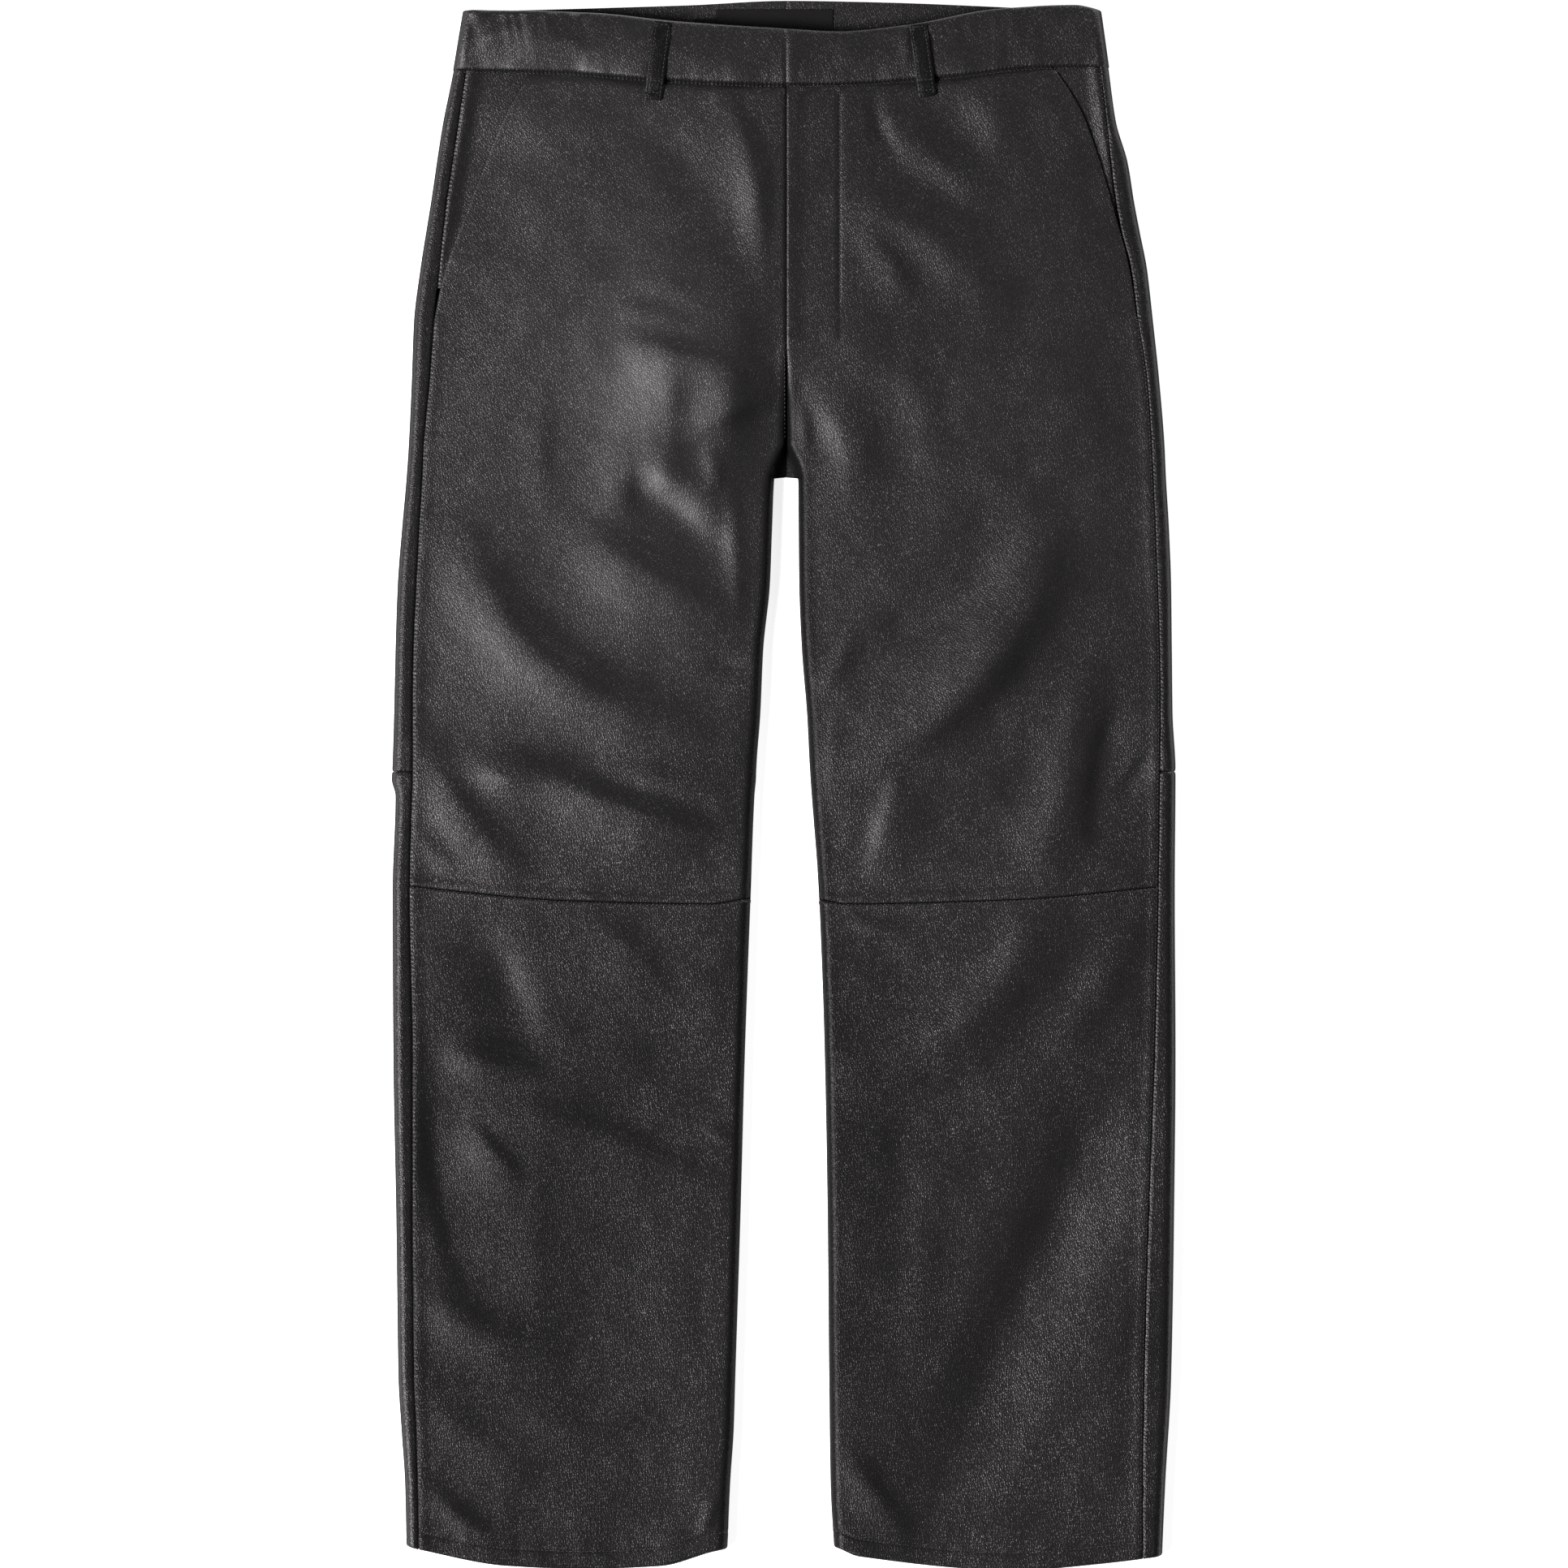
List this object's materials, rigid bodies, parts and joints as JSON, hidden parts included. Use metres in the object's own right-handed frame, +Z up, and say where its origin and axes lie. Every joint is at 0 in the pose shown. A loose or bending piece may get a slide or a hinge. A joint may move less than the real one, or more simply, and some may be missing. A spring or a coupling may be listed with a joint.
{
  "type": "leather trousers laid flat",
  "caption": "Straight-leg dark leather trousers laid flat on their back, with knee seams, slanted side pockets, a concealed fly and belt loops.",
  "frame": {"origin": "middle of the bounding box at the surface that the trousers lie on, between the legs", "axes": "+Y along the trousers from hem to waist, +X towards the wearer's left leg, +Z up from the surface through the front"},
  "size_m": [0.5313, 1.0616, 0.0267],
  "materials": {
    "hide": "semi-matte, fine pebble grain",
    "facing_hide": "semi-matte, fine pebble grain",
    "band_hide": "semi-matte, fine pebble grain",
    "loop_hide": "semi-matte",
    "zip_tape": "matte woven tape",
    "label_cloth": "matte woven",
    "thread": "twisted polyester sewing thread, slight sheen"
  },
  "bodies": {
    "root": {"waistband_right": "band_hide", "front_upper_right": "hide", "front_lower_right": "hide", "back_upper_right": "hide", "back_lower_right": "hide", "pocket_facing_right": "facing_hide", "belt_loop_front_right": "loop_hide", "belt_loop_back_right": "loop_hide", "waistband_left": "band_hide", "front_upper_left": "hide", "front_lower_left": "hide", "back_upper_left": "hide", "back_lower_left": "hide", "pocket_facing_left": "facing_hide", "belt_loop_front_left": "loop_hide", "belt_loop_back_left": "loop_hide", "belt_loop_back_centre": "loop_hide", "fly_underlap": "hide", "zip": "zip_tape", "waist_label": "label_cloth", "size_tab": "label_cloth"}
  },
  "joints": []
}
